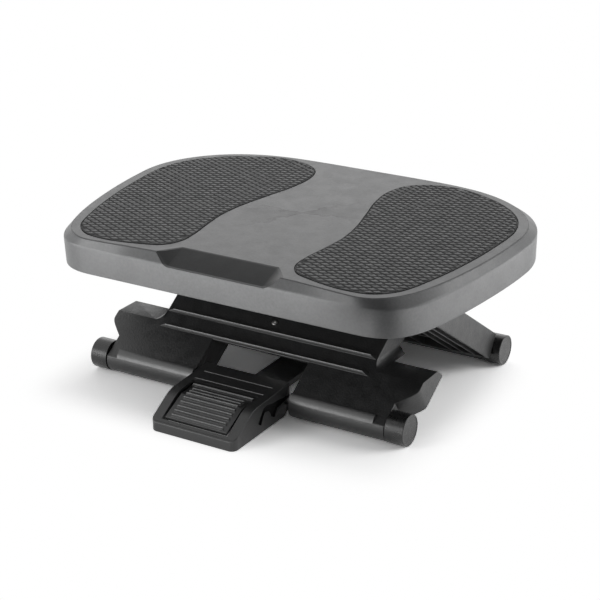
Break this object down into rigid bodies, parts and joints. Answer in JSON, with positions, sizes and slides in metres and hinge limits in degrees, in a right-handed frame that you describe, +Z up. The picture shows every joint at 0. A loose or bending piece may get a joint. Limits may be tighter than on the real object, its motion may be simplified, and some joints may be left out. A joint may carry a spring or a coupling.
{
  "type": "tilting under-desk footrest",
  "caption": "Free-standing footrest: a rounded tray with rubber foot pads tilts on crossed legs, and a foot pedal at the front releases its height.",
  "frame": {"origin": "on the floor, at the middle of the footprint, with the tray at its highest setting and nearly level", "axes": "+X points to the sitter's right along the tray's width, +Y points away from the sitter, towards the back, +Z points up"},
  "size_m": [0.452, 0.3588, 0.1702],
  "materials": {
    "grey_shell": "satin grey moulded plastic",
    "pad_rubber": "dark grey rubber with a fine diamond texture",
    "trim_plastic": "smooth dark grey plastic",
    "frame_plastic": "fine-grained black plastic",
    "pedal_plastic": "black plastic",
    "cap_rubber": "black rubber, slightly glossy",
    "steel": "bright steel",
    "acetal": "white bearing plastic"
  },
  "bodies": {
    "carrier": {"carrier_frame": "frame_plastic", "tilt_axle": "steel", "height_hinge_rod": "steel", "tilt_axle_clip_left": "steel", "tilt_axle_clip_right": "steel", "height_hinge_clip_left": "steel", "height_hinge_clip_right": "steel"},
    "tray": {"tray_shell": "grey_shell", "foot_pad_left": "pad_rubber", "foot_pad_right": "pad_rubber", "front_trim": "trim_plastic", "tilt_bracket_left": "frame_plastic", "tilt_bracket_right": "frame_plastic", "bracket_screw_left_front": "steel", "bracket_screw_left_back": "steel", "bracket_screw_right_front": "steel", "bracket_screw_right_back": "steel", "friction_washer_left": "acetal", "friction_washer_right": "acetal"},
    "front_leg": {"front_leg": "frame_plastic", "front_cap_left": "cap_rubber", "front_cap_right": "cap_rubber", "foot_axle": "steel", "strut_guide": "frame_plastic", "leg_screw": "steel", "pivot_pin_left": "steel", "pivot_washer_left": "acetal", "pivot_clip_left": "steel", "pivot_pin_right": "steel", "pivot_washer_right": "acetal", "pivot_clip_right": "steel"},
    "rear_leg": {"rear_leg": "frame_plastic", "rear_cap_right": "cap_rubber", "rear_cap_left": "cap_rubber", "slide_rod": "steel", "strut_pin": "steel", "slide_bush_right": "acetal", "slide_bush_left": "acetal", "slide_rod_clip_right": "steel", "slide_rod_clip_left": "steel"},
    "pedal": {"pedal_housing": "pedal_plastic", "tread_pin": "steel", "tread_spring": "steel"},
    "tread": {"pedal_tread": "pedal_plastic"},
    "strut": {"height_strut": "frame_plastic"}
  },
  "joints": [
    {"name": "tray_tilt", "type": "hinge", "parent": "carrier", "child": "tray", "pos_m": [0, 0.0221, 0.14799], "axis": [1, 0, 0], "range_deg": [-16.64, 13.36]},
    {"name": "height", "type": "hinge", "parent": "carrier", "child": "front_leg", "pos_m": [0, 0.0854, 0.12808], "axis": [1, 0, 0], "range_deg": [-14.3, 0]},
    {"name": "leg_crossing", "type": "hinge", "parent": "front_leg", "child": "rear_leg", "pos_m": [0, 0.0221, 0.08602], "axis": [1, 0, 0], "range_deg": [0, 28.6]},
    {"name": "pedal_level", "type": "hinge", "parent": "front_leg", "child": "pedal", "pos_m": [0, -0.08377, 0.01569], "axis": [1, 0, 0], "range_deg": [0, 14.3]},
    {"name": "strut_level", "type": "hinge", "parent": "rear_leg", "child": "strut", "pos_m": [0, 0.12796, 0.01569], "axis": [1, 0, 0], "range_deg": [-14.3, 0]},
    {"name": "pedal_press", "type": "hinge", "parent": "pedal", "child": "tread", "pos_m": [0, -0.11237, 0.02149], "axis": [1, 0, 0], "range_deg": [0, 6], "stiffness_Nm_per_rad": 4, "springref_deg": -5.73}
  ],
  "couplings": [
    {"joint": "leg_crossing", "follows": "height", "ratio": -2},
    {"joint": "pedal_level", "follows": "height", "ratio": -1},
    {"joint": "strut_level", "follows": "height", "ratio": 1}
  ]
}
